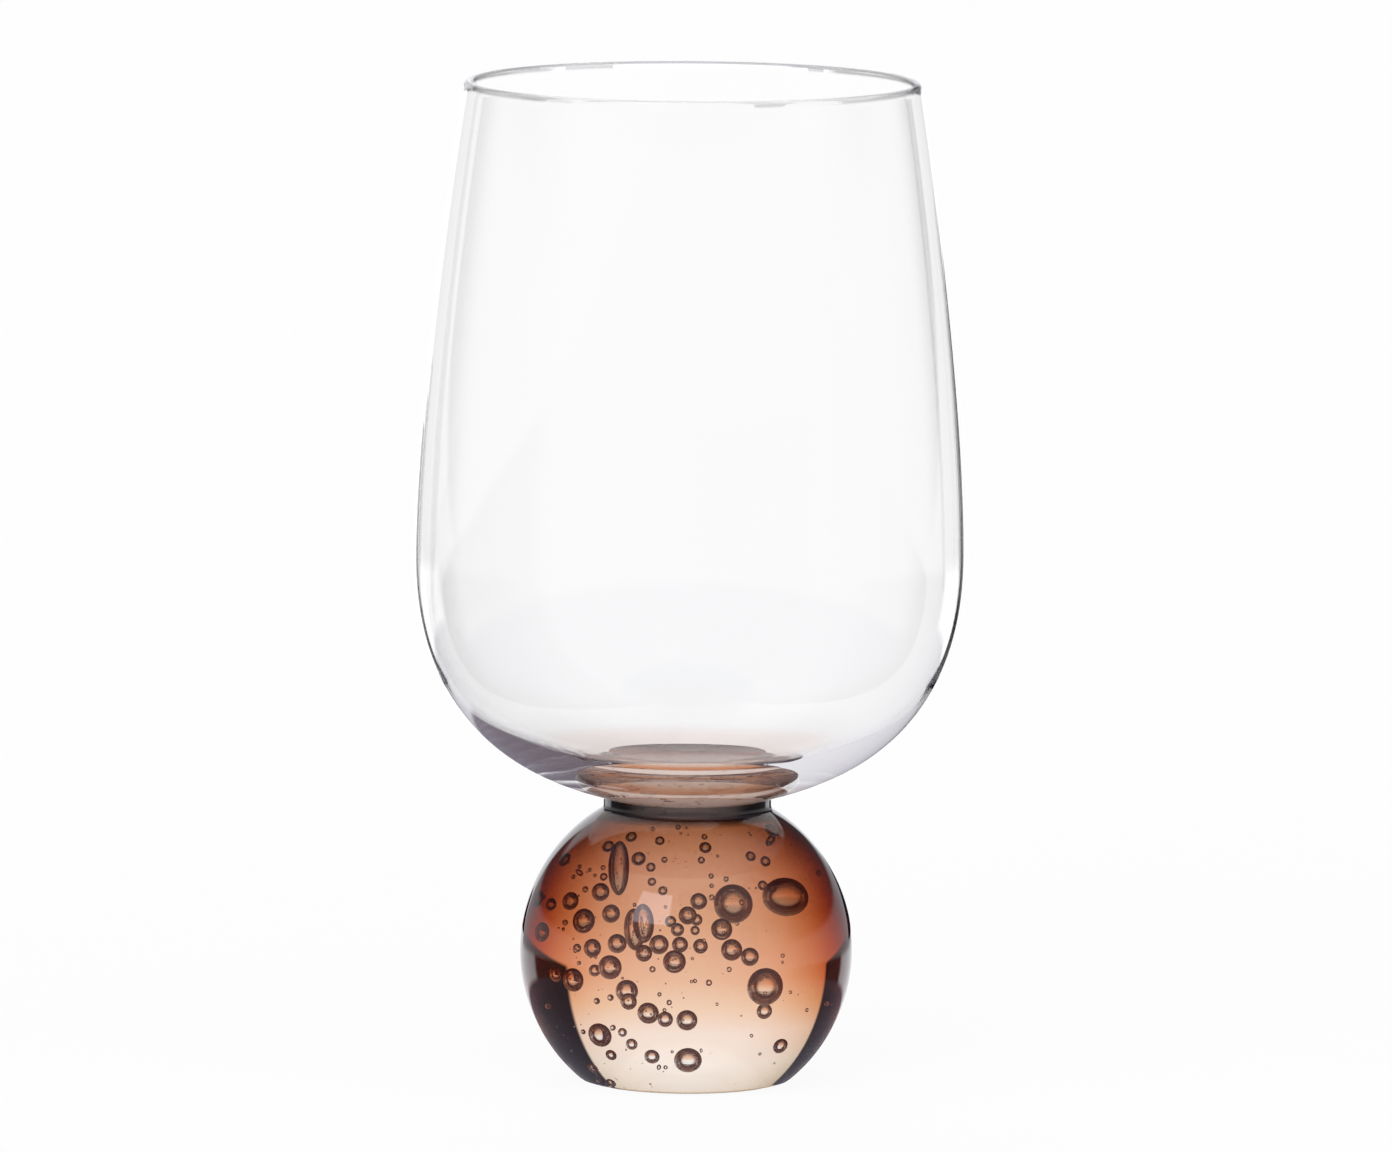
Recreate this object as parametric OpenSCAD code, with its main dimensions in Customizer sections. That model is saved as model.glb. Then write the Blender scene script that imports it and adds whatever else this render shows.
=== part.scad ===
// Goblet: a thin clear blown bowl fused on a solid amber glass ball that is full of air bubbles.
// The ball stands on a small ground flat. Its axis is Z, and the table is at z = 0.

/* [Ball] */
// Diameter of the ball
ball_d = 49.2; // [46:0.1:54]
// Diameter of the flat ground under the ball
flat_d = 31; // [26:0.5:34]
// Bevel that breaks the edge of the flat
flat_bevel = 0.4; // [0.2:0.1:0.8]
// Diameter of the neck between ball and bowl
neck_d = 24.8; // [22:0.1:28]
// Height of the neck above the place where it leaves the ball
neck_h = 1.75; // [1.2:0.05:3]
// Radius of the cove between neck and ball
neck_cove = 0.8; // [0.4:0.1:1]

/* [Bowl] */
// Height of the bowl from the neck to the lip
bowl_h = 105.9; // [95:0.1:120]
// Widest diameter of the bowl
belly_d = 81; // [76:0.5:88]
// Height of the widest place above the neck
belly_up = 36; // [32:0.5:40]
// Outer diameter at the lip
rim_d = 67.1; // [62:0.1:72]
// Thickness of the wall at the lip
lip_wall = 1.2; // [0.9:0.1:1.8]
// Thickness of the wall at the belly
belly_wall = 1.4; // [1:0.1:2.2]
// Thickness of the glass under the middle of the cavity
floor_t = 2.8; // [2:0.1:5]
// Lean of the wall towards the axis at the lip, in degrees
rim_lean = 8.9; // [5:0.1:12]
// Angle at which the underside leaves the neck, in degrees
foot_rise = 13.3; // [8:0.1:20]

/* [Roundness of the bowl] */
// Pull of the upper wall at the belly, as a share of the wall's height above it
wall_pull = 0.25; // [0.15:0.01:0.4]
// Pull of the upper wall at the lip, as a share of the wall's height
rim_pull = 0.32; // [0.2:0.01:0.4]
// Pull of the shoulder at the belly, as a share of the belly's height over the neck
belly_pull = 0.58; // [0.5:0.01:0.66]
// Pull of the underside at the neck, as a share of its run outwards
foot_pull = 0.63; // [0.5:0.01:0.7]
// Pull of the cavity's side at the belly, as a share of the cavity's depth below it
cavity_pull = 0.65; // [0.5:0.01:0.7]
// Pull of the cavity's floor at the axis, as a share of the cavity's radius
floor_pull = 0.75; // [0.5:0.01:0.8]

/* [Bubbles] */
// Scale of the bubbles' sizes
bubble_scale = 1; // [0.7:0.05:1.1]
// How far the eye looks down on the ball from the front, in degrees
eye_pitch = 8.8; // [0:0.1:15]
// Refractive index of the glass
glass_index = 1.5; // [1.4:0.01:1.6]

/* [Hidden] */

// Colours
CLEAR = [0.93, 0.95, 0.96, 0.45];
AMBER = [0.72, 0.42, 0.28, 0.8];

// Fineness of the round forms and of the curves in the bowl's section
ROUND = 96;
BUBBLE_ROUND = 24;
CURVE_STEPS = 22;
LIP_STEPS = 6;

// Sizes that follow from the ones above
ball_r = ball_d / 2;
flat_r = flat_d / 2;
neck_r = neck_d / 2;
ball_z = sqrt(ball_r * ball_r - flat_r * flat_r);
neck_z = ball_z + sqrt(ball_r * ball_r - neck_r * neck_r);
seat_z = neck_z + neck_h;
cove_x = neck_r + neck_cove;
cove_z = ball_z + sqrt(pow(ball_r + neck_cove, 2) - cove_x * cove_x);
touch = ball_r / (ball_r + neck_cove);
edge_slope = asin(flat_r / ball_r);
belly_r = belly_d / 2;
belly_z = seat_z + belly_up;
rim_r = rim_d / 2;
rim_z = seat_z + bowl_h;
floor_z = seat_z + floor_t;
lip_r = lip_wall / 2;

// The glass bends a sight line, so a bubble isn't where it seems to be.
// Each row gives a bubble as it is seen from the front, in millimetres from the middle of a ball of
// SEEN_BALL_R: across, up, radius. The last number is its depth along the bent line, in ball radii.
SEEN_BALL_R = 24.6;
SEEN = [
    [6.9, 6.8, 2.9, 0.62],      [11.7, -5.4, 2.75, 0.50],
    [0.4, -16.3, 2.0, 0.42],    [-12.6, -12.7, 1.8, 0.45],  [-15.1, 4.1, 1.8, 0.40],
    [-11.2, -2.7, 1.75, 0.72],  [-16.6, -4.6, 1.7, 0.44],   [-1.7, -1.8, 1.7, 0.36],
    [5.2, 3.0, 1.6, 0.34],      [6.7, 0.0, 1.6, 0.52],      [-5.5, -9.4, 1.6, 0.46],
    [-8.7, -6.2, 1.65, 0.84],   [0.2, -10.4, 1.55, 0.48],   [-10.2, 0.8, 1.4, 0.90],
    [-4.0, 0.7, 1.45, 0.74],    [-21.3, 2.4, 1.35, 0.50],   [9.4, -1.0, 1.35, 0.70],
    [-13.8, 0.1, 1.35, 0.56],   [-6.2, -0.6, 1.25, 0.46],   [0.2, 5.0, 1.35, 0.44],
    [-11.1, 5.2, 1.35, 0.66],   [-17.1, 7.0, 1.3, 0.54],    [-12.7, 8.4, 1.3, 0.80],
    [-8.4, -7.7, 1.25, 0.50],   [-0.9, 0.7, 1.2, 0.60],     [1.8, 7.1, 1.25, 0.64],
    [12.6, 17.7, 1.2, 0.30],    [11.6, -9.0, 1.15, 0.66],   [14.0, -14.1, 1.15, 0.40],
    [-3.0, -10.3, 1.15, 0.68],  [2.1, 0.5, 1.1, 0.42],      [-21.9, 7.3, 1.1, 0.44],
    [-19.2, -3.8, 1.0, 0.60],   [-4.9, -15.8, 1.1, 0.52],   [-13.6, -17.6, 0.9, 0.26],
    [-1.3, 2.9, 1.0, 0.82],     [-18.0, 13.1, 1.0, 0.42],   [-7.1, 13.3, 1.05, 0.58],
    [-11.6, 15.1, 0.9, 0.52],   [1.5, 4.4, 0.9, 0.96],      [2.7, 15.0, 0.9, 0.46],
    [-10.9, -19.7, 0.8, 0.20],  [-7.9, -14.0, 0.85, 0.62],  [-10.9, -15.6, 0.85, 0.34],
    [-13.5, -3.2, 0.85, 0.98],  [-2.3, 4.1, 0.85, 0.60],    [-20.0, 6.5, 0.85, 0.66],
    [-8.2, 16.5, 0.85, 0.36],   [9.4, 13.8, 0.75, 0.56],    [11.6, 13.1, 0.75, 0.74],
    [11.2, 9.5, 0.75, 0.46],    [-5.3, 12.1, 0.7, 0.80],    [-3.5, 8.6, 0.7, 0.52],
    [1.3, 2.8, 0.7, 0.66],      [-9.3, -12.3, 0.65, 0.80],  [-4.0, 16.0, 0.7, 0.62],
    [-5.1, 9.9, 0.65, 0.40],    [-16.1, 0.1, 0.6, 0.84],    [-12.2, 10.6, 0.6, 0.50]
];

// Long bubbles, seen in the same way: across, up, radius, depth, half length, tilt in degrees
SEEN_LONG = [
    [-10.0, 12.1, 1.6, 0.30, 4.4, -5],
    [-6.3, 3.8, 1.6, 0.24, 2.9, -4],
    [-7.6, 2.9, 1.6, 0.52, 3.1, -4],
    [14.7, 7.9, 2.7, 0.76, 3.4, 90]
];

// Point at share t along the cubic curve through a and d, pulled by b and c
function curve_point(a, b, c, d, t) =
    pow(1 - t, 3) * a + 3 * pow(1 - t, 2) * t * b + 3 * (1 - t) * t * t * c + t * t * t * d;

// The curve from a to d without its last point, which starts the next one
function curve(a, b, c, d, steps) =
    [for (i = [0:steps - 1]) curve_point(a, b, c, d, i / steps)];

// Place of a bubble in a ball of radius 1 that is seen at across, up, at a depth along its sight line.
// The line enters at the angle whose sine is its distance from the middle, and bends by Snell's law.
function bent_place(across, up, depth) =
    let (
        off = max(norm([across, up]), 0.001),
        outside = asin(off),
        inside = asin(off / glass_index),
        bend = outside - inside,
        out = off - depth * sin(bend),
        deep = depth * cos(bend) - cos(outside),
        right = across / off * out,
        high = up / off * out
    )
    [
        right,
        deep * cos(eye_pitch) + high * sin(eye_pitch),
        high * cos(eye_pitch) - deep * sin(eye_pitch)
    ];

// True size of what seems one unit across at a depth, because the front of the ball magnifies
function true_share(depth) = 1 - (1 - 1 / glass_index) * depth;

// Half of the bowl's section: up the outside, over the lip, down the cavity
module bowl_section() {
    lean = [sin(rim_lean), -cos(rim_lean)];
    rise = [cos(foot_rise), sin(foot_rise)];
    wall_h = rim_z - lip_r - belly_z;
    cavity_r = belly_r - belly_wall;
    foot = [neck_r, seat_z];
    belly = [belly_r, belly_z];
    shoulder_out = [rim_r, rim_z - lip_r];
    shoulder_in = [rim_r - lip_wall, rim_z - lip_r];
    belly_in = [cavity_r, belly_z];
    bottom = [0, floor_z];
    lip_middle = [rim_r - lip_r, rim_z - lip_r];
    polygon(concat(
        [[0, seat_z]],
        curve(foot, foot + rise * foot_pull * (belly_r - neck_r),
              belly - [0, belly_pull * belly_up], belly, CURVE_STEPS),
        curve(belly, belly + [0, wall_pull * wall_h],
              shoulder_out + lean * rim_pull * wall_h, shoulder_out, CURVE_STEPS),
        [for (a = [0:180 / LIP_STEPS:179]) lip_middle + lip_r * [cos(a), sin(a)]],
        curve(shoulder_in, shoulder_in + lean * rim_pull * wall_h,
              belly_in + [0, wall_pull * wall_h], belly_in, CURVE_STEPS),
        curve(belly_in, belly_in - [0, cavity_pull * (belly_z - floor_z)],
              bottom + [floor_pull * cavity_r, 0], bottom, CURVE_STEPS),
        [bottom]
    ));
}

// Clear blown bowl: thin at the lip, thick at the foot, where it was fused to the ball
module bowl() {
    color(CLEAR) rotate_extrude($fn = ROUND) bowl_section();
}

// Half of the ball's section, with the neck, its cove and the bevelled flat
module ball_section() {
    difference() {
        intersection() {
            translate([0, ball_z]) circle(r = ball_r, $fn = ROUND);
            square([ball_r, ball_z + ball_r]);
        }
        translate([0, neck_z]) square([ball_r, ball_r]);
        polygon([
            [flat_r - flat_bevel, 0], [ball_d, 0],
            [ball_d, (ball_d - flat_r + flat_bevel) * tan(edge_slope / 2)]
        ]);
    }
    translate([0, ball_z]) square([neck_r, seat_z - ball_z]);
    difference() {
        polygon([
            [neck_r, ball_z], [cove_x * touch, ball_z + (cove_z - ball_z) * touch],
            [cove_x, cove_z], [neck_r, cove_z]
        ]);
        translate([cove_x, cove_z]) circle(r = neck_cove, $fn = ROUND);
    }
}

// One long bubble about its own middle, standing along Z
module long_bubble(r, half) {
    rotate_extrude($fn = BUBBLE_ROUND)
        polygon([for (a = [-90:180 / BUBBLE_ROUND:90]) [r * cos(a), half * sin(a)]]);
}

// All the air in the ball, at its true places
module bubbles() {
    grow = ball_r / SEEN_BALL_R;
    translate([0, 0, ball_z]) {
        for (b = SEEN)
            translate(bent_place(b[0] / SEEN_BALL_R, b[1] / SEEN_BALL_R, b[3]) * ball_r)
                sphere(r = b[2] * true_share(b[3]) * bubble_scale * grow, $fn = BUBBLE_ROUND);
        for (b = SEEN_LONG)
            translate(bent_place(b[0] / SEEN_BALL_R, b[1] / SEEN_BALL_R, b[3]) * ball_r)
                rotate([-eye_pitch, b[5], 0])
                    long_bubble(b[2] * true_share(b[3]) * bubble_scale * grow,
                                b[4] * true_share(b[3]) * bubble_scale * grow);
    }
}

// Amber ball with its neck: solid glass, with the bubbles as closed voids
module ball() {
    color(AMBER) difference() {
        rotate_extrude($fn = ROUND) ball_section();
        bubbles();
    }
}

bowl();
ball();
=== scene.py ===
# %% [markdown]
# # A blown goblet on a ball full of bubbles
# The real piece is hot glass twice over. A gather of amber glass was rolled round and stirred so that it
# trapped air, and a thin clear bowl was blown apart from it and fused on while both were soft.
# The CAD model gives the two solids, the size of everything and the places of the bubbles. This file
# makes the same two pieces again as fine, smooth skins, because glass shows each facet of a coarse mesh.

# %% Tools, the CAD frame and its box
import math

import bpy
import numpy as np
from mathutils import Matrix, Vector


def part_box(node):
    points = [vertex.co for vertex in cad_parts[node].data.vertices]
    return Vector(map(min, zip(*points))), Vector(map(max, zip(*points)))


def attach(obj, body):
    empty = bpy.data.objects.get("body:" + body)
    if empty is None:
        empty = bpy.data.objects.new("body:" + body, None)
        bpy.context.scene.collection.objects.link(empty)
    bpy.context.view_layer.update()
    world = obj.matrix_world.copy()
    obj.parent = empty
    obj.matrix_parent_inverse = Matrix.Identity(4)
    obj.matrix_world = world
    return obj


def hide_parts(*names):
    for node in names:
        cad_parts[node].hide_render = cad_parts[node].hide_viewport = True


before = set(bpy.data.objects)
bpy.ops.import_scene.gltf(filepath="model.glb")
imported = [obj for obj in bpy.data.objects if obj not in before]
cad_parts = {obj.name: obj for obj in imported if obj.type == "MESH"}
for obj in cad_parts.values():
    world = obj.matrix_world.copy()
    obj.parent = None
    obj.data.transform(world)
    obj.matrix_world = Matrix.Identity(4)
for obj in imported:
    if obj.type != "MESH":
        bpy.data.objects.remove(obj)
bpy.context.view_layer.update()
BOWL_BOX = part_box("bowl")

# %% [markdown]
# ## The camera
# The photograph was taken from far away with a long lens, a little above the goblet. The far camera
# keeps the two rims nearly the same width, and the height of the rim's ellipse gives how far the lens
# looks down. The camera also leaned a little, so the goblet leans the other way in the picture.

# %% Camera
FAR = 2.0
EYE_HEIGHT = 0.3278
LOOK_DOWN = math.radians(7.21)
LEAN = math.radians(0.448)
SENSOR = 36.0
LENS = 353.8
SHIFT = 0.00506


def aim(look_down, lean):
    """Turning matrix of a camera that looks along +Y, tipped down and then leaned about its own axis."""
    level = Matrix.Rotation(math.pi / 2 - look_down, 3, "X")
    return level @ Matrix.Rotation(lean, 3, "Z")


lens = bpy.data.cameras.new("long_lens")
lens.lens = LENS
lens.sensor_width = SENSOR
lens.shift_x = SHIFT
lens.clip_end = 20
camera = bpy.data.objects.new("camera", lens)
camera.matrix_world = Matrix.Translation((0, -FAR, EYE_HEIGHT)) @ aim(LOOK_DOWN, LEAN).to_4x4()
bpy.context.collection.objects.link(camera)
bpy.context.scene.camera = camera
bpy.context.scene.view_settings.view_transform = "Standard"
print("camera", FAR, "m away, looking down", round(math.degrees(LOOK_DOWN), 2), "degrees")

# %% [markdown]
# ## Writing shader trees as sums
# A shader tree is easier to read as a formula than as a list of boxes and wires. One small class wraps
# a socket. Arithmetic on it adds Math nodes, and its `make` adds any other node: settings come first,
# then what feeds the sockets.

# %% Sockets that can be added and multiplied
class Wire:
    """An output socket in a node tree, on which arithmetic adds Math nodes."""

    def __init__(self, tree, socket=None):
        self.tree = tree
        self.socket = socket

    def make(self, kind, settings=None, feeds=None, out=0):
        """Adds a node, sets it up, feeds its sockets and gives back the output that is asked for."""
        node = self.tree.nodes.new(kind)
        for name, value in (settings or {}).items():
            if name == "stops":
                set_stops(node.color_ramp, value)
            else:
                setattr(node, name, value)
        for name, value in (feeds or {}).items():
            if isinstance(value, Wire):
                self.tree.links.new(value.socket, node.inputs[name])
            else:
                node.inputs[name].default_value = value
        return Wire(self.tree, node.outputs[out])

    def maths(self, operation, *values):
        """One Math node, fed by the given wires and numbers."""
        return self.make("ShaderNodeMath", {"operation": operation}, dict(enumerate(values)))

    def __add__(self, other):
        return self.maths("ADD", self, other)

    def __sub__(self, other):
        return self.maths("SUBTRACT", self, other)

    def __rsub__(self, other):
        return self.maths("SUBTRACT", other, self)

    def __mul__(self, other):
        return self.maths("MULTIPLY", self, other)

    __radd__ = __add__
    __rmul__ = __mul__

    def ramp(self, start, end):
        """Smooth step of this wire, from 0 at start to 1 at end."""
        feeds = {"Value": self, "From Min": start, "From Max": end}
        return self.make("ShaderNodeMapRange", {"interpolation_type": "SMOOTHSTEP"}, feeds)

    def blend(self, low, high):
        """Colour that goes from low to high as this wire goes from 0 to 1."""
        low, high = [c if isinstance(c, Wire) else (*c, 1) for c in (low, high)]
        return self.make("ShaderNodeMix", {"data_type": "RGBA"}, {0: self, 6: low, 7: high}, 2)

    def parts(self):
        """The three numbers of a vector wire."""
        node = self.make("ShaderNodeSeparateXYZ", feeds={0: self}).socket.node
        return [Wire(self.tree, socket) for socket in node.outputs]

    def shader(self, kind, colour):
        """A shader of the given kind in one colour."""
        return self.make(kind, feeds={"Color": (*colour, 1)})

    def mix(self, first, second):
        """Shader that goes from first to second as this wire goes from 0 to 1."""
        return self.make("ShaderNodeMixShader", feeds={0: self, 1: first, 2: second})


def set_stops(ramp, stops):
    """Gives a colour ramp its stops: a list of (place, colour)."""
    while len(ramp.elements) < len(stops):
        ramp.elements.new(0.5)
    for element, (place, colour) in zip(ramp.elements, stops):
        element.position = place
        element.color = (*colour, 1)


def new_material(name, nodes_of):
    """A material whose surface is what nodes_of gives for a bare wire of its tree."""
    material = bpy.data.materials.new(name)
    material.use_nodes = True
    tree = material.node_tree
    tree.nodes.clear()
    end = tree.nodes.new("ShaderNodeOutputMaterial")
    tree.links.new(nodes_of(Wire(tree)).socket, end.inputs["Surface"])
    return material


print("shader sums ready")

# %% [markdown]
# ## The studio
# Clear glass has no look of its own: every line in it is a bent picture of the room. The ball turns that
# picture upside down. Its pale lower half is the bright backdrop, the two black patches are the dark room
# beyond the backdrop's sides, and they end at the height where the table begins. So the room is drawn as
# the glass must see it, as a function of direction in the world shader: across from the backdrop's
# middle, and up from the level. The camera itself sees plain white.
# The room is fitted to the photographed side alone. From the left or right of the goblet, and at a slant
# from behind, a look through the bowl ends in or near the dark room, so the bowl looks grey from there.

# %% Directions and light paths of the room
def turn(degrees):
    """Radians of a number of degrees."""
    return math.radians(degrees)


def window(wire, low, high, soft):
    """1 between low and high, falling smoothly to 0 over a width on both sides."""
    return wire.ramp(low - soft / 2, low + soft / 2) * (1 - wire.ramp(high - soft / 2, high + soft / 2))


def past(wire):
    """A wire where it is above 0, and 0 elsewhere."""
    return wire.maths("MAXIMUM", wire, 0)


def counted(met, low, high):
    """1 for a look that has met from low to high walls of glass, otherwise 0."""
    return met.maths("COMPARE", met, (low + high) / 2, (high - low) / 2 + 0.5)


world = bpy.data.worlds.new("studio")
bpy.context.scene.world = world
world.use_nodes = True
world.node_tree.nodes.clear()
room = Wire(world.node_tree)
east, north, up = room.make("ShaderNodeTexCoord", out="Generated").parts()
across = room.maths("ARCTAN2", east, north)
rise = room.maths("ARCSINE", up)
seen_by_camera = room.make("ShaderNodeLightPath", out="Is Camera Ray")
walls_met = room.make("ShaderNodeLightPath", out="Ray Depth") - 1
print("room directions ready")

# %% [markdown]
# What a look meets depends on how many walls of glass it has met before. An even number means that it
# went through, and an odd one that it was mirrored once. A look mirrored inside the glass finds pale sides
# that turn dim and blue higher up, or else the bowl would show dark panels. A look that has wandered
# through six walls or more finds a pale room with a dim right part. That is the ball's underside, where
# light runs round inside the glass. The table's far edge drops a little past the backdrop's ends.
# Where an angle has two values they are where a soft step starts and ends. The third one of a window is
# the width of its soft edges.

# %% The room for looks into the glass
WHITE = (1.0, 1.0, 1.0)
DARK_ROOM = (0.009, 0.005, 0.010)
FRONT_ROOM = (0.80, 0.80, 0.82)
SIDE_MIRROR = (0.97, 0.97, 0.98)
MIRROR_HIGH = (0.20, 0.28, 0.45)
DEEP_ROOM = (0.85, 0.84, 0.87)
DEEP_DIM = (0.135, 0.105, 0.125)
BACKDROP_LEFT, BACKDROP_RIGHT, BACKDROP_SOFT = turn(-46), turn(34), turn(2)
BACKDROP_TOP, CEILING_SOFT = turn(74), turn(6)
ROOM_SIDE, ROOM_SOFT = turn(135), turn(40)
TABLE_EDGE, TABLE_EDGE_SOFT = turn(-2.5), turn(0.7)
FALL_LEFT, FALL_RIGHT = 0.23, 0.15
MIRROR_AHEAD = turn(-60), turn(50), turn(20)
MIRROR_TURNS_BLUE = turn(10), turn(15)
DEEP_FROM_WALLS = 5.4, 5.6
DEEP_RIGHT = turn(5), turn(110), turn(10)

backdrop = window(across, BACKDROP_LEFT, BACKDROP_RIGHT, BACKDROP_SOFT)
ahead = window(across, -ROOM_SIDE, ROOM_SIDE, ROOM_SOFT)
upper_room = ahead.blend(FRONT_ROOM, backdrop.blend(DARK_ROOM, WHITE))
mirrored = walls_met.maths("MODULO", walls_met, 2)
aside = 1 - window(across, *MIRROR_AHEAD)
mirror_side = rise.ramp(*MIRROR_TURNS_BLUE).blend(SIDE_MIRROR, MIRROR_HIGH)
upper_room = (aside * mirrored).blend(upper_room, mirror_side)
deep_room = window(across, *DEEP_RIGHT).blend(DEEP_ROOM, DEEP_DIM)
upper_room = walls_met.ramp(*DEEP_FROM_WALLS).blend(upper_room, deep_room)
ceiling = rise.ramp(BACKDROP_TOP - CEILING_SOFT, BACKDROP_TOP + CEILING_SOFT)
fall = past(across - BACKDROP_RIGHT) * FALL_RIGHT + past(BACKDROP_LEFT - across) * FALL_LEFT
above_table = (rise - TABLE_EDGE + fall).ramp(-TABLE_EDGE_SOFT, TABLE_EDGE_SOFT)
straight_look = above_table.blend(WHITE, ceiling.blend(upper_room, DARK_ROOM))
print("room behind the glass drawn")

# %% [markdown]
# A look that has met a single wall was mirrored on the outside of the glass, and goes sideways past the
# goblet or back to the front. At the sides the lit backdrop is narrow, a bright band of the far table runs
# below it, and the near table and the rest are dim. They draw the grey crescents at the ball's outline.
# The front is pale with a lamp high up, and a small window there puts the square light on the ball.

# %% The room for looks mirrored on the outside
LAMP_WHITE = (1.3, 1.3, 1.34)
FRONT_LAMP = (1.6, 1.58, 1.6)
SKY_LIGHT = (4.0, 4.1, 4.6)
DULL_SIDE = (0.55, 0.55, 0.57)
DIM_SIDE = (0.10, 0.08, 0.09)
DIM_TABLE = (0.21, 0.20, 0.26)
SIDE_DIMS = turn(4), turn(8)
VEIL_ACROSS = turn(-36), turn(-15), turn(6)
VEIL_RISES = turn(14), turn(20)
LAMP_ACROSS = turn(-23), turn(14), turn(3)
LAMP_TOP = turn(55), turn(62)
BAND_ACROSS = turn(-50), turn(43), turn(6)
BAND_TOP = turn(-8.5), turn(-6.5)
BAND_FOOT = turn(-15.5), turn(-13.5)
SIDES_ACROSS = turn(-105), turn(105), turn(40)
FRONT_LAMP_RISES = turn(45), turn(75)
SKY_ACROSS = turn(-167), turn(-138), turn(2)
SKY_RISE = turn(25), turn(46), turn(2)

beside = rise.ramp(*SIDE_DIMS).blend(DULL_SIDE, DIM_SIDE)
veil = window(across, *VEIL_ACROSS) * rise.ramp(*VEIL_RISES)
lit_high = window(across, *LAMP_ACROSS).blend(veil.blend(beside, FRONT_ROOM), LAMP_WHITE)
lit_high = rise.ramp(*LAMP_TOP).blend(lit_high, DIM_SIDE)
lit_band = window(across, *BAND_ACROSS).blend(DIM_SIDE, LAMP_WHITE)
side_look = rise.ramp(*BAND_TOP).blend(lit_band, lit_high)
side_look = rise.ramp(*BAND_FOOT).blend(DIM_TABLE, side_look)
at_front = 1 - window(across, *SIDES_ACROSS)
front_look = rise.ramp(*FRONT_LAMP_RISES).blend(FRONT_ROOM, FRONT_LAMP)
sky_light = window(across, *SKY_ACROSS) * window(rise, *SKY_RISE)
front_look = sky_light.blend(front_look, SKY_LIGHT)
outer_mirror = at_front.blend(side_look, front_look)
first_wall = counted(walls_met, 1, 1)
light = seen_by_camera.blend(first_wall.blend(straight_look, outer_mirror), WHITE)
shine = room.make("ShaderNodeBackground", feeds={"Color": light, "Strength": 1.0})
end = room.tree.nodes.new("ShaderNodeOutputWorld")
room.tree.links.new(shine.socket, end.inputs["Surface"])
print("room drawn, with", len(room.tree.nodes), "nodes")

# %% [markdown]
# ## The table
# In the picture the table is white to the edges, with hardly a shadow. The camera sees it as a plain
# white glow with a thin share of real shading on top, which keeps a faint shadow. The glass doesn't see
# this table, because the room already has one for it.

# %% Table
TABLE_HALF = 3.0
TABLE_DROP = 0.00004
TABLE_GLOW = 0.93
TABLE_SHADED = (0.09, 0.09, 0.09)
TABLE_PAINT = (0.8, 0.8, 0.8)


def table_nodes(base):
    """White glow and a little shading for the camera, plain pale paint for all other light."""
    seen = base.make("ShaderNodeLightPath", out="Is Camera Ray")
    glow = base.make("ShaderNodeEmission", feeds={"Color": (*WHITE, 1), "Strength": TABLE_GLOW})
    thin = base.shader("ShaderNodeBsdfDiffuse", TABLE_SHADED)
    shown = base.make("ShaderNodeAddShader", feeds={0: glow, 1: thin})
    return seen.mix(base.shader("ShaderNodeBsdfDiffuse", TABLE_PAINT), shown)


def put_mesh(name, points, faces):
    """An object from an array of points and a list of face arrays with three or four corners each."""
    mesh = bpy.data.meshes.new(name)
    corners = np.concatenate([f.ravel() for f in faces])
    sizes = np.concatenate([np.full(len(f), f.shape[1]) for f in faces])
    mesh.vertices.add(len(points))
    mesh.vertices.foreach_set("co", points.astype(np.float32).ravel())
    mesh.loops.add(len(corners))
    mesh.loops.foreach_set("vertex_index", corners.astype(np.int32))
    mesh.polygons.add(len(sizes))
    mesh.polygons.foreach_set("loop_start", (np.cumsum(sizes) - sizes).astype(np.int32))
    mesh.update(calc_edges=True)
    mesh.shade_smooth()
    piece = bpy.data.objects.new(name, mesh)
    bpy.context.collection.objects.link(piece)
    return piece


square = np.array([(-1, -1, 0), (1, -1, 0), (1, 1, 0), (-1, 1, 0)]) * TABLE_HALF
table = put_mesh("table", square - (0, 0, TABLE_DROP), [np.array([[0, 1, 2, 3]])])
table.data.materials.append(new_material("table_white", table_nodes))
table.visible_glossy = False
table.visible_transmission = False
print("table", TABLE_HALF * 2, "m wide")

# %% [markdown]
# Two things on the table are seen only by way of the glass. Far behind the goblet lie two dark strips.
# The walls of the bowl mirror the look sideways onto them, and that draws the dark lines down its sides.
# Looks that met an odd number of walls, up to five, see them. Close round the goblet's foot the table is
# in its shade, which is brown from the amber and weaker behind. The thick floor of the bowl shows it, for
# looks that met three to five walls. The look straight through the ball misses both.
# Each row of a strip gives its inner edge, how far back it is, and its outer edge, in metres.

# %% Dark strips and the shade at the foot
STRIP_RIGHT = [(0.030, 0.170, 0.104), (0.094, 0.535, 0.222), (0.150, 0.850, 0.300), (0.250, 1.450, 0.385)]
STRIP_LEFT = [(-0.064, 0.185, -0.105), (-0.165, 0.525, -0.230), (-0.320, 1.000, -0.395)]
STRIP_BLACK = (0.015, 0.015, 0.02)
STRIP_WALLS = 1, 5
SHADE_CORE, SHADE_REACH = 0.040, 0.080
SHADE_BACK, SHADE_BACK_GAP = (-0.01, 0.02), 0.5
SHADE_BROWN = (0.20, 0.11, 0.08)
SHADE_WALLS = 3, 5


def unlit(base, colour, strength):
    """Plain colour that takes no light, mixed over clear air by a strength from 0 to 1."""
    air = base.shader("ShaderNodeBsdfTransparent", WHITE)
    return strength.mix(air, base.shader("ShaderNodeEmission", colour))


def strip_nodes(base):
    """Nearly black, for looks that were mirrored."""
    met = base.make("ShaderNodeLightPath", out="Ray Depth")
    return unlit(base, STRIP_BLACK, met.maths("MODULO", met, 2) * counted(met, *STRIP_WALLS))


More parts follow.
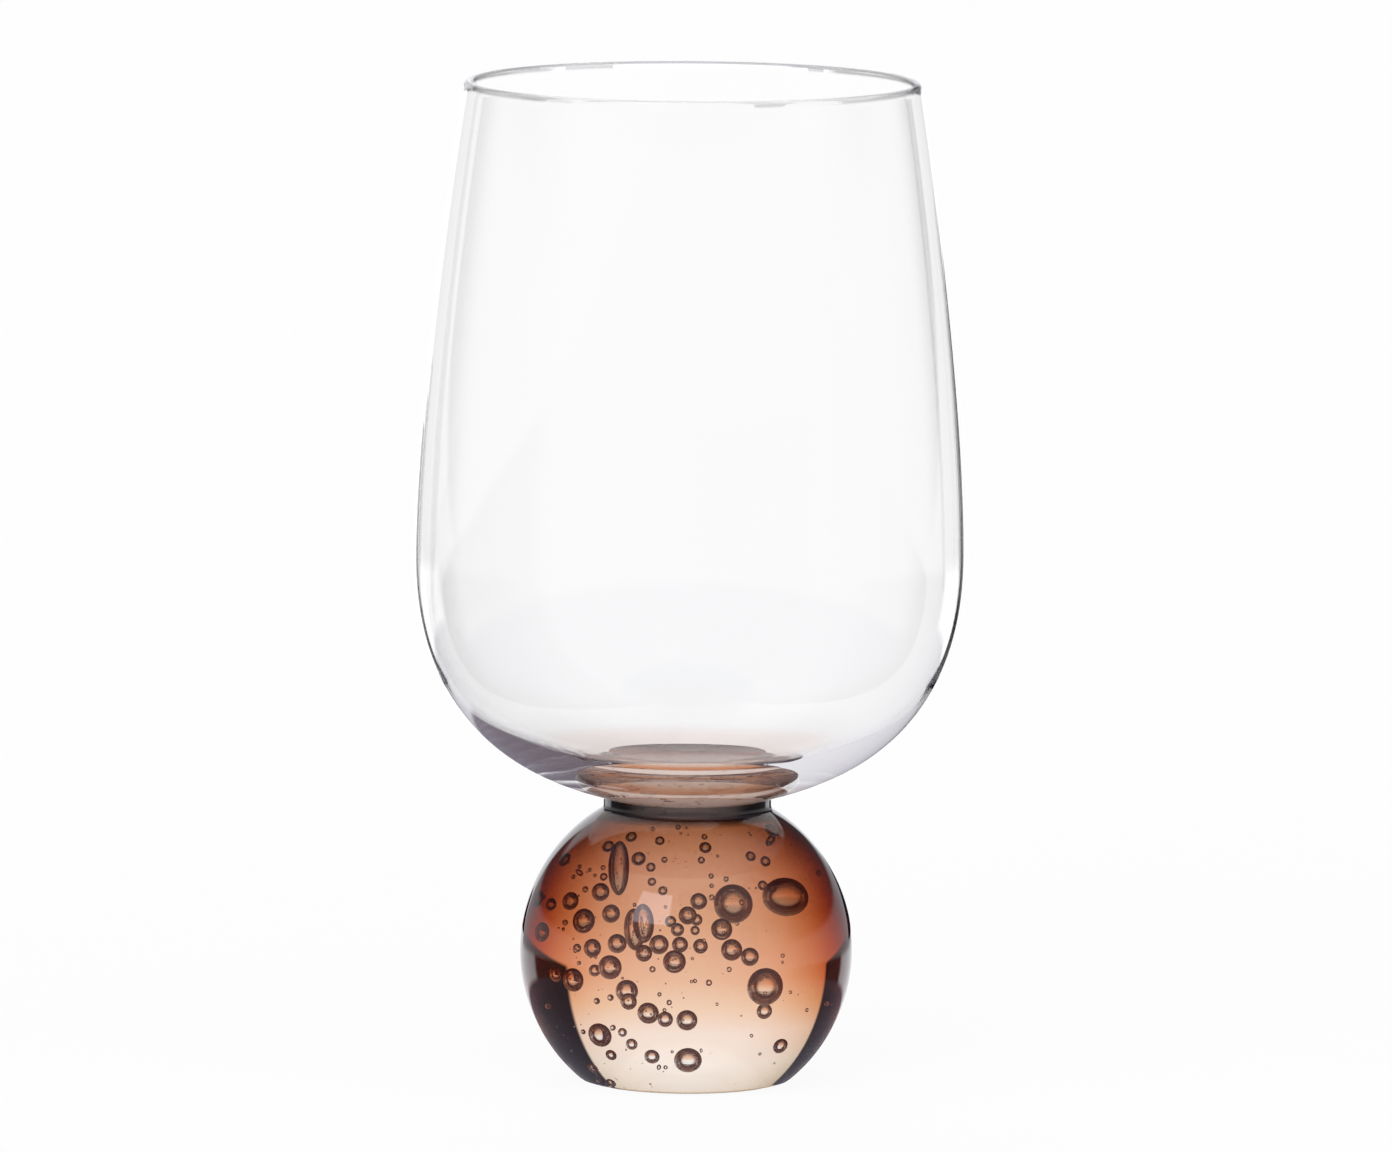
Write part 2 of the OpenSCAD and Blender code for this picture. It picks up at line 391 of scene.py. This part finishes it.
def shade_nodes(base):
    """Brown, strongest next to the foot and weaker behind it, for looks down through the bowl."""
    met = base.make("ShaderNodeLightPath", out="Ray Depth")
    place = base.make("ShaderNodeTexCoord", out="Object")
    away = place.make("ShaderNodeVectorMath", {"operation": "LENGTH"}, {0: place}, 1)
    behind = place.parts()[1].ramp(*SHADE_BACK)
    strength = (1 - away.ramp(SHADE_CORE, SHADE_REACH)) * (1 - behind * SHADE_BACK_GAP)
    return unlit(base, SHADE_BROWN, strength * counted(met, *SHADE_WALLS))


def lay(name, points, faces, nodes):
    """A flat thing on the table that only mirrored and bent light sees."""
    mark = put_mesh(name, np.array(points), [np.array(faces)])
    mark.data.materials.append(new_material(name, nodes))
    mark.visible_camera = mark.visible_diffuse = mark.visible_shadow = False


for name, strip in (("strip_right", STRIP_RIGHT), ("strip_left", STRIP_LEFT)):
    corners = [(x, back, 0) for inner, back, outer in strip for x in (inner, outer)]
    lay(name, corners, [(k, k + 1, k + 3, k + 2) for k in range(0, len(corners) - 2, 2)], strip_nodes)
lay("foot_shade", square / TABLE_HALF * SHADE_REACH - (0, 0, TABLE_DROP), [(0, 1, 2, 3)], shade_nodes)
print("strips and shade laid")

# %% [markdown]
# ## Turning a profile
# A blown bowl and a rolled ball are both bodies of revolution, so each is a profile of radius and height
# that is carried round the axis. The curves are the same cubic curves as in the CAD source, with many
# more points. A profile that touches the axis is closed there by a fan of triangles.

# %% Curves and the turned skin
def cubic(a, b, c, d, count):
    """Points on the cubic curve from a to d that is pulled by b and c, without its last point.

    The place at t is (1 - t)^3 a + 3 (1 - t)^2 t b + 3 (1 - t) t^2 c + t^3 d, for t from 0 to 1."""
    t = np.arange(count)[:, None] / count
    a, b, c, d = [np.array(p, float) for p in (a, b, c, d)]
    return (1 - t) ** 3 * a + 3 * (1 - t) ** 2 * t * b + 3 * (1 - t) * t**2 * c + t**3 * d


def arc(middle, radius, start, stop, count):
    """Points on a circle from one angle to another, in degrees from the outward side, without the last."""
    t = np.radians(start + (stop - start) * np.arange(count) / count)[:, None]
    return np.array(middle) + radius * np.hstack([np.cos(t), np.sin(t)])


def turned(profile, around):
    """Points and faces of a profile turned about Z. The first and the last point lie on the axis."""
    angle = 2 * np.pi * np.arange(around) / around
    radius, height = profile[1:-1, :1], profile[1:-1, 1:]
    rings = np.stack([radius * np.cos(angle), radius * np.sin(angle), height + 0 * angle], 2)
    poles = np.array([(0, 0, profile[0, 1]), (0, 0, profile[-1, 1])])
    points = np.concatenate([rings.reshape(-1, 3), poles])
    j = np.arange(around)
    k = (j + 1) % around
    first = np.arange(len(radius) - 1)[:, None] * around
    quads = np.stack([first + j, first + k, first + around + k, first + around + j], 2).reshape(-1, 4)
    last = (len(radius) - 1) * around
    low, high = len(points) - 2, len(points) - 1
    bottom = np.stack([np.full(around, low), k, j], 1)
    top = np.stack([last + j, last + k, np.full(around, high)], 1)
    return points, [quads, bottom, top]


print("profile tools ready")

# %% [markdown]
# ## The bowl
# The bowl was blown thin and left thick at its foot. The thickness of the wall is what draws the two
# dark lines down its sides, so both skins are needed: up the outside, over the fire-polished lip and
# down the cavity. The sizes come from the CAD box and the named sizes of the source. The underside stands
# a hair above the ball's neck, so that the two faces of the joint don't lie in one another.

# %% Bowl profile
MM = 0.001
SEAT = BOWL_BOX[0].z
RIM_TOP = BOWL_BOX[1].z
BELLY_RADIUS = min(BOWL_BOX[1].x, BOWL_BOX[1].y)
NECK_RADIUS = 12.4 * MM
BELLY_UP = 36 * MM
RIM_RADIUS = 33.55 * MM
LIP_WALL = 1.2 * MM
BELLY_WALL = 1.4 * MM
FLOOR_THICK = 2.8 * MM
RIM_LEAN = turn(8.9)
FOOT_RISE = turn(13.3)
WALL_PULL, RIM_PULL, BELLY_PULL = 0.25, 0.32, 0.58
FOOT_PULL, CAVITY_PULL, FLOOR_PULL = 0.63, 0.65, 0.75
LOW_POINTS, SIDE_POINTS, LIP_POINTS = 66, 50, 14
BOWL_AROUND = 160
JOINT_GAP = 0.00002
TOUCH = 1e-6


def bowl_profile():
    """Radius and height round the bowl's section, from the middle of its underside to its cavity's."""
    belly, lip = SEAT + BELLY_UP, RIM_TOP - LIP_WALL / 2
    lean = np.array([math.sin(RIM_LEAN), -math.cos(RIM_LEAN)]) * RIM_PULL * (lip - belly)
    rise_of_foot = np.array([math.cos(FOOT_RISE), math.sin(FOOT_RISE)])
    straight_up = np.array([0, WALL_PULL * (lip - belly)])
    inner = BELLY_RADIUS - BELLY_WALL
    floor = SEAT + FLOOR_THICK
    foot, shoulder = np.array([NECK_RADIUS, SEAT]), np.array([RIM_RADIUS, lip])
    widest, inside = np.array([BELLY_RADIUS, belly]), np.array([inner, belly])
    brim = shoulder - (LIP_WALL, 0)
    out_of_foot = foot + rise_of_foot * FOOT_PULL * (BELLY_RADIUS - NECK_RADIUS)
    below_inside = inside - (0, CAVITY_PULL * (belly - floor))
    return np.concatenate([
        [(0, SEAT)],
        cubic(foot, out_of_foot, widest - (0, BELLY_PULL * BELLY_UP), widest, LOW_POINTS),
        cubic(widest, widest + straight_up, shoulder + lean, shoulder, SIDE_POINTS),
        arc(shoulder - (LIP_WALL / 2, 0), LIP_WALL / 2, 0, 180, LIP_POINTS),
        cubic(brim, brim + lean, inside + straight_up, inside, SIDE_POINTS),
        cubic(inside, below_inside, (FLOOR_PULL * inner, floor), (0, floor), LOW_POINTS),
        [(0, floor)],
    ])


bowl_points, bowl_faces = turned(bowl_profile(), BOWL_AROUND)
bowl_points = bowl_points + (0, 0, JOINT_GAP) * (bowl_points[:, 2:] < SEAT + TOUCH)
bowl = put_mesh("bowl_glass", bowl_points, bowl_faces)
print("bowl", len(bowl.data.polygons), "faces")

# %% [markdown]
# ## The ball's skin
# The ball is a full sphere that was ground flat underneath, with a short neck on top that swells into
# the bowl. A small cove joins sphere and neck, where the hot glass ran together.

# %% Ball profile
BALL_RADIUS = 24.6 * MM
FLAT_RADIUS = 15.5 * MM
FLAT_BEVEL = 0.4 * MM
COVE = 0.8 * MM
BALL_MIDDLE = math.sqrt(BALL_RADIUS**2 - FLAT_RADIUS**2)
FLAT_FROM = 0.3
FLAT_POINTS, BEVEL_POINTS, ROUND_POINTS, COVE_POINTS, NECK_POINTS = 4, 2, 110, 8, 4
BALL_AROUND = 180


def ball_profile():
    """Radius and height round the ball's section, from the middle of the flat to the middle of the neck."""
    slope = math.asin(FLAT_RADIUS / BALL_RADIUS) / 2
    start = np.array([FLAT_RADIUS - FLAT_BEVEL, 0])
    along = np.array([math.cos(slope), math.sin(slope)])
    to_start = start - (0, BALL_MIDDLE)
    half = to_start @ along
    reach = -half + math.sqrt(half**2 - to_start @ to_start + BALL_RADIUS**2)
    edge = start + along * reach
    edge_angle = math.degrees(math.atan2(edge[1] - BALL_MIDDLE, edge[0]))
    cove_x = NECK_RADIUS + COVE
    cove_z = BALL_MIDDLE + math.sqrt((BALL_RADIUS + COVE) ** 2 - cove_x**2)
    cove_angle = math.degrees(math.atan2(cove_z - BALL_MIDDLE, cove_x))
    return np.concatenate([
        [(0, 0)],
        np.linspace((FLAT_FROM * start[0], 0), start, FLAT_POINTS, endpoint=False),
        np.linspace(start, edge, BEVEL_POINTS, endpoint=False),
        arc((0, BALL_MIDDLE), BALL_RADIUS, edge_angle, cove_angle, ROUND_POINTS),
        arc((cove_x, cove_z), COVE, cove_angle + 180, 180, COVE_POINTS),
        np.linspace((NECK_RADIUS, cove_z), (NECK_RADIUS, SEAT), NECK_POINTS),
        [(0, SEAT)],
    ])


skin_points, skin_faces = turned(ball_profile(), BALL_AROUND)
print("ball skin", sum(len(f) for f in skin_faces), "faces")

# %% [markdown]
# ## The bubbles
# The bubbles are closed holes in the CAD solid. Its mesh is cut into its separate shells, and each small
# shell gives the middle, the directions and the three half widths of one bubble. A smooth shell with the
# same middle and widths replaces it, with its faces turned into the hole, because the glass is outside it.

# %% Finding the bubbles in the CAD solid
WELD_DIGITS = 7


def shells_of(node):
    """The separate closed skins of a CAD node: welds equal points, then spreads the lowest label."""
    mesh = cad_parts[node].data
    points = np.empty(len(mesh.vertices) * 3)
    corners = np.empty(len(mesh.loops), np.int32)
    mesh.vertices.foreach_get("co", points)
    mesh.loops.foreach_get("vertex_index", corners)
    rounded = np.round(points.reshape(-1, 3), WELD_DIGITS)
    welded, same = np.unique(rounded, axis=0, return_inverse=True)
    triangles = same.ravel()[corners].reshape(-1, 3)
    label, before = np.arange(len(welded)), None
    while before is None or (label != before).any():
        before = label.copy()
        np.minimum.at(label, triangles.ravel(), np.repeat(before[triangles].min(1), 3))
        label = label[label]
    return [welded[label == one] for one in np.unique(label)]


def fitted_box(points):
    """Middle, right-handed directions and half widths of a shell, from its longest direction downwards."""
    middle = points.mean(0)
    directions = np.linalg.svd(points - middle, full_matrices=False)[2]
    directions[2] *= np.linalg.det(directions)
    reach = (points - middle) @ directions.T
    return middle + (reach.max(0) + reach.min(0)) / 2 @ directions, directions, np.ptp(reach, 0) / 2


shells = sorted(shells_of("ball"), key=np.ptp)[:-1]
boxes = [fitted_box(s) for s in shells]
middles, turns, halves = [np.array(part) for part in zip(*boxes)]
print(len(boxes), "bubbles, from", halves.min().round(5), "to", halves.max().round(5), "m half width")

# %% Smooth bubbles
BUBBLE_GRAIN = 16, 26


def round_shell(rings, around):
    """A ball of radius 1 as a turned half circle, with its faces turned inwards."""
    profile = arc((0, 0), 1, -90, 90, rings)
    points, faces = turned(np.concatenate([profile, [(0, 1)]]), around)
    return points, [f[:, ::-1] for f in faces]


def copies(points, faces, middles, frames):
    """One shell for each middle, stretched and turned by the rows of its frame, as one set of faces."""
    placed = (points @ frames + middles[:, None]).reshape(-1, 3)
    step = len(points) * np.arange(len(middles))[:, None, None]
    return placed, [(f + step).reshape(-1, f.shape[1]) for f in faces]


fine_points, fine_faces = round_shell(*BUBBLE_GRAIN)
bubble_points, bubble_faces = copies(fine_points, fine_faces, middles, halves[:, :, None] * turns)
print("bubbles", sum(len(f) for f in bubble_faces), "faces")

# %% [markdown]
# Between the bubbles hang some hundreds of tiny seeds, denser on the photographed left. They are far too
# small for the CAD solid. They are strewn with a fixed start number, kept inside the ball and off the
# bubbles, and each has only a few dozen faces.
# A few small bubbles can be told apart in the photo. Each was read there as a place and a radius in pixels.
# The glass bends the look at the skin, so the place is followed along the bent look to the plane through
# the ball's middle.

# %% Seeds and small bubbles
SEED_COUNT = 240
SEED_TRIES = SEED_COUNT * 12
SEED_START = 7
SEED_SMALL, SEED_LARGE = 0.07 * MM, 0.30 * MM
SEED_REACH = 0.9 * BALL_RADIUS
SEED_LOWEST = 2 * MM
SEED_GAP, SMALL_GAP = 0.15 * MM, 0.1 * MM
SHARE_ON_RIGHT = 0.45
SEED_GRAIN = 5, 7
GLASS_INDEX = 1.5
PIXELS_PER_MM = 6.77
BALL_SEEN_AT = (685.5, 948.0)
SMALL_SEEN = [
    (584, 1030.5, 3.0),
    (597, 1000, 3.6),
    (610.5, 996.5, 3.6),
    (652, 968, 3.4),
    (669, 1001, 3.0),
    (708.5, 981, 3.4),
    (663, 858, 3.5),
    (703, 834.5, 3.4),
    (700, 858, 4.0),
    (710, 874, 3.0),
    (725, 877, 3.0),
    (676.5, 825, 3.2),
    (651, 827, 2.8),
    (796, 834.5, 2.6),
    (572, 876, 2.8),
    (601.5, 866.5, 3.0),
    (666, 1065, 2.5),
    (584, 888.5, 3.6),
]


def room_round(places, radii):
    """How far each of some small balls is from the nearest bubble, which counts as a ball too."""
    return (np.linalg.norm(places[:, None] - middles, axis=2) - halves.max(1) - radii[:, None]).min(1)


def strewn_seeds():
    """Random middles and radii in the ball, thinned on the right, and none that touches a bubble."""
    chance = np.random.default_rng(SEED_START)
    places = chance.uniform(-1, 1, (SEED_TRIES, 3)) * BALL_RADIUS
    radii = SEED_SMALL + (SEED_LARGE - SEED_SMALL) * chance.random(SEED_TRIES) ** 3
    inside = np.linalg.norm(places, axis=1) < SEED_REACH
    wanted = chance.random(SEED_TRIES) < np.where(places[:, 0] < 0, 1.0, SHARE_ON_RIGHT)
    places = places + (0, 0, BALL_MIDDLE)
    inside &= (places[:, 2] > SEED_LOWEST) & wanted
    free = inside & (room_round(places, radii) > SEED_GAP)
    return places[free][:SEED_COUNT], radii[free][:SEED_COUNT]


def sunk(seen):
    """Middles and radii of bubbles in the plane through the ball's middle, as seen through its front.

    A look at an offset s meets the skin at the angle i, with sin i = s / R, and turns in by i - r, with
    sin r = sin i / index. It comes nearer to the axis by R cos i tan(i - r) on its way to the plane."""
    seen = np.array(seen)
    offsets = (seen[:, :2] - BALL_SEEN_AT) * (1, -1) / PIXELS_PER_MM * MM
    reach = np.linalg.norm(offsets, axis=1)
    meets = np.arcsin(reach / BALL_RADIUS)
    turns_in = meets - np.arcsin(np.sin(meets) / GLASS_INDEX)
    across_by, up_by = (offsets * (1 - BALL_RADIUS * np.cos(meets) * np.tan(turns_in) / reach)[:, None]).T
    places = np.column_stack([across_by, up_by * math.sin(LOOK_DOWN), up_by * math.cos(LOOK_DOWN)])
    return places + (0, 0, BALL_MIDDLE), seen[:, 2] / PIXELS_PER_MM * MM / GLASS_INDEX


seed_middles, seed_radii = strewn_seeds()
small_middles, small_radii = sunk(SMALL_SEEN)
apart = room_round(small_middles, small_radii) > SMALL_GAP
print(apart.sum(), "of", len(SMALL_SEEN), "small bubbles are clear of the large ones")
seed_middles = np.concatenate([seed_middles, small_middles[apart]])
seed_radii = np.concatenate([seed_radii, small_radii[apart]])
coarse_points, coarse_faces = round_shell(*SEED_GRAIN)
seed_frames = seed_radii[:, None, None] * np.eye(3)
seed_points, seed_faces = copies(coarse_points, coarse_faces, seed_middles, seed_frames)
print(len(seed_middles), "seeds,", sum(len(f) for f in seed_faces), "faces")

# %% [markdown]
# The ball's skin, the bubbles and the seeds go into one object, as they are one piece of glass. Marks on
# its points and faces tell the material which part is outer skin, and which faces lie on the joint.

# %% The whole ball in one skin, with its marks
SHARP_FROM = turn(28)

parts = [(skin_points, skin_faces), (bubble_points, bubble_faces), (seed_points, seed_faces)]
starts = np.cumsum([0] + [len(points) for points, _ in parts])
ball = put_mesh(
    "ball_glass",
    np.concatenate([points for points, _ in parts]),
    [f + start for (_, faces), start in zip(parts, starts) for f in faces],
)


def mark(piece, name, domain, values):
    """Stores one number for each point or face of a piece, for its material to read."""
    layer = piece.data.attributes.new(name, "FLOAT", domain)
    layer.data.foreach_set("value", values.astype(np.float32))


def face_middles(piece):
    """Middle of each face of a piece, as an array."""
    middle = np.empty(len(piece.data.polygons) * 3)
    piece.data.polygons.foreach_get("center", middle)
    return middle.reshape(-1, 3)


mark(ball, "skin", "POINT", np.arange(len(ball.data.vertices)) < starts[1])
mark(ball, "join", "FACE", face_middles(ball)[:, 2] > SEAT - TOUCH)
mark(bowl, "join", "FACE", face_middles(bowl)[:, 2] < SEAT + 2 * JOINT_GAP)
for piece in (ball, bowl):
    piece.data.set_sharp_from_angle(angle=SHARP_FROM)
print("ball", len(ball.data.polygons), "faces")

# %% [markdown]
# ## The glass
# Both materials are clear glass with an index of 1.5. The ball's colour lies in a coat under its skin and
# goes by height: pale at the flat and amber higher up. Its darker top is partly painted shade, standing in
# for the dark floor seen through it. The near-black neck is painted shade for the dark ring there. A look
# that enters at a slant goes through more of the coat, so the colour is raised to a higher power there.
# Where the look only grazes the skin the red is taken out, which is painted shade along the ball's outline.
# Bubble walls have no coat. Painted brown shade grows over their slanting parts, stronger on one side, and
# draws the dark rims of the bubbles.
# The joint is one piece of glass on the real goblet, so its two faces are open and only tint what lies
# behind. Light that only casts a shadow passes through, which keeps the table bright, as the real caustic
# light does.

# %% Amber glass of the ball
SLANT_SHARE = 3.0
GRAZE_SHARE = 14.0
GRAZE_POWER = 3
# Amber by height, partly painted shade: the darker top stands in for the dark floor seen through it, and
# the near-black last stops paint the dark ring at the neck.
AMBER_AND_SHADE_BY_HEIGHT = [
    (0.12, (0.99, 0.96, 0.93)),
    (0.24, (0.98, 0.86, 0.79)),
    (0.33, (0.91, 0.64, 0.46)),
    (0.43, (0.80, 0.41, 0.25)),
    (0.52, (0.70, 0.32, 0.18)),
    (0.64, (0.57, 0.25, 0.12)),
    (0.78, (0.55, 0.295, 0.19)),
    (0.93, (0.47, 0.30, 0.20)),
    (0.955, (0.03, 0.014, 0.011)),
    (1.00, (0.02, 0.010, 0.008)),
]
# Painted shade: where the look grazes the ball's skin this colour cuts the red, which darkens the outline.
GRAZE_SHADE = (0.1, 0.9, 0.9)
# Painted shade on the bubbles: a dark brown over their slanting walls, stronger on one side, stands in for
# the dark room they mirror.
BUBBLE_RIM_SHADE = (0.30, 0.072, 0.034)
RIM_LEAST, RIM_MORE = 0.58, 0.39
RIM_SHADED_SIDE = (0.5, 0.0, 0.87)
RIM_TO_SHADED_SIDE = -0.8, 0.4
RIM_BY_SLANT = 0.09, 0.42
JOINT_TINT = (0.82, 0.70, 0.65)
AMBER_SHADOW = (0.95, 0.86, 0.80)


def attribute(base, name):
    """The number that a piece stores under a name."""
    return base.make("ShaderNodeAttribute", {"attribute_name": name}, out="Fac")


def smooth_glass(base, colour):
    """Polished clear glass that tints what goes through its walls."""
    feeds = {"Base Color": colour, "Roughness": 0.0, "IOR": GLASS_INDEX, "Transmission Weight": 1.0}
    return base.make("ShaderNodeBsdfPrincipled", feeds=feeds)


def clear_at_joint(base, glass, joint, shade):
    """A glass that only tints on the joint, and that lets shadow rays through with a colour."""
    joined = attribute(base, "join").mix(glass, base.shader("ShaderNodeBsdfTransparent", joint))
    pass_light = base.shader("ShaderNodeBsdfTransparent", shade)
    return base.make("ShaderNodeLightPath", out="Is Shadow Ray").mix(joined, pass_light)


def amber_nodes(base):
    """Glass tinted by height and by slant on the skin, with painted shade over the top, the neck and the
    outline, and clear with painted rims of shade on the bubbles.

    The tint is raised to the power 1 + SLANT_SHARE s + GRAZE_SHARE s^3, where s is 0 for a wall that
    faces the look and 1 for one seen edge on."""
    height = base.make("ShaderNodeTexCoord", out="Object").parts()[2]
    tint = base.make("ShaderNodeValToRGB", {"stops": AMBER_AND_SHADE_BY_HEIGHT}, {0: height * (1 / SEAT)})
    slant = base.make("ShaderNodeLayerWeight", feeds={"Blend": 0.5}, out="Facing")
    graze = slant.maths("POWER", slant, GRAZE_POWER)
    coats = slant * SLANT_SHARE + graze * GRAZE_SHARE + 1
    deep = base.make("ShaderNodeGamma", feeds={"Color": tint, "Gamma": coats})
    times = {"data_type": "RGBA", "blend_type": "MULTIPLY"}
    edge_shaded = base.make("ShaderNodeMix", times, {0: graze, 6: deep, 7: (*GRAZE_SHADE, 1)}, 2)
    skin = attribute(base, "skin")
    # The bubbles' dark rims are painted shade, a brown diffuse mixed in by slant and by side.
    rim_shade = base.shader("ShaderNodeBsdfDiffuse", BUBBLE_RIM_SHADE)
    normal = base.make("ShaderNodeNewGeometry", out="Normal")
    to_shaded_side = base.make("ShaderNodeVectorMath", {"operation": "DOT_PRODUCT"}, {0: normal, 1: RIM_SHADED_SIDE}, 1)
    strength = to_shaded_side.ramp(*RIM_TO_SHADED_SIDE) * RIM_MORE + RIM_LEAST
    rim = slant.ramp(*RIM_BY_SLANT) * strength * (1 - skin)
    ringed = rim.mix(smooth_glass(base, skin.blend(WHITE, edge_shaded)), rim_shade)
    return clear_at_joint(base, ringed, JOINT_TINT, AMBER_SHADOW)


ball.data.materials.append(new_material("amber_glass", amber_nodes))
print("amber glass, index", GLASS_INDEX)

# %% [markdown]
# The bowl's glass has no colour, but three places differ. A grey lies on the joint and grows towards the
# back, where the floor shows a round grey window. It is a painted reflection of the grey surroundings and
# painted shade. The foot is tinted brown, which is painted amber light from the ball under it. The last
# millimetre of the lip is mostly clear air, as the real polished lip draws a soft line.

# %% Clear glass of the bowl
JOINT_GREY_FRONT, JOINT_GREY_MORE = 0.02, 0.72
JOINT_GREY_GROWS = -8 * MM, 10 * MM
# Painted reflection and shade: a grey diffuse on the joint, growing towards the back.
JOINT_REFLECTION_GREY = (0.17, 0.15, 0.18)
LIP_FROM, LIP_TO = 146.9 * MM, 147.5 * MM
LIP_SHARE = 0.65
# Painted light: the foot's brown tint stands in for the amber light from the ball under it.
AMBER_LIGHT_FROM, AMBER_LIGHT_TO = 44.0 * MM, 47.0 * MM
FOOT_AMBER_LIGHT = (0.88, 0.75, 0.70)
CLEAR = (0.990, 0.989, 0.991)
LIP_TINT = (0.985, 0.985, 0.99)
CLEAR_SHADOW = (0.97, 0.97, 0.97)


def clear_nodes(base):
    """Clear glass with painted grey reflection and shade on the joint, painted amber light at the foot and
    a softened lip.
    """
    _, depth, height = base.make("ShaderNodeTexCoord", out="Object").parts()
    glass = smooth_glass(base, height.ramp(AMBER_LIGHT_FROM, AMBER_LIGHT_TO).blend(FOOT_AMBER_LIGHT, CLEAR))
    joint_greyed = attribute(base, "join").mix(glass, base.shader("ShaderNodeBsdfDiffuse", JOINT_REFLECTION_GREY))
    plain = clear_at_joint(base, glass, WHITE, CLEAR_SHADOW)
    share = depth.ramp(*JOINT_GREY_GROWS) * JOINT_GREY_MORE + JOINT_GREY_FRONT
    lip = height.ramp(LIP_FROM, LIP_TO) * LIP_SHARE
    return lip.mix(share.mix(plain, joint_greyed), base.shader("ShaderNodeBsdfTransparent", LIP_TINT))


bowl.data.materials.append(new_material("clear_glass", clear_nodes))
print("clear glass, index", GLASS_INDEX)

# %% [markdown]
# ## Light paths
# A look into the bubbles crosses many walls of glass, and each crossing is a bounce. With too few
# bounces the deepest places turn black.

# %% Bounces
GLASS_BOUNCES = 64
OPEN_BOUNCES = 16

cycles = bpy.context.scene.cycles
cycles.max_bounces = GLASS_BOUNCES
cycles.transmission_bounces = GLASS_BOUNCES
cycles.glossy_bounces = GLASS_BOUNCES
cycles.transparent_max_bounces = OPEN_BOUNCES
print("up to", cycles.max_bounces, "bounces")

# %% [markdown]
# ## Handing over
# Both pieces ride on the one body, because nothing moves. Each replaces its CAD solid.

# %% Bodies, and the CAD solids hidden
for piece, node, slot in ((bowl, "bowl", "clear_glass"), (ball, "ball", "amber_glass")):
    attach(piece, "root")
    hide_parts(node)
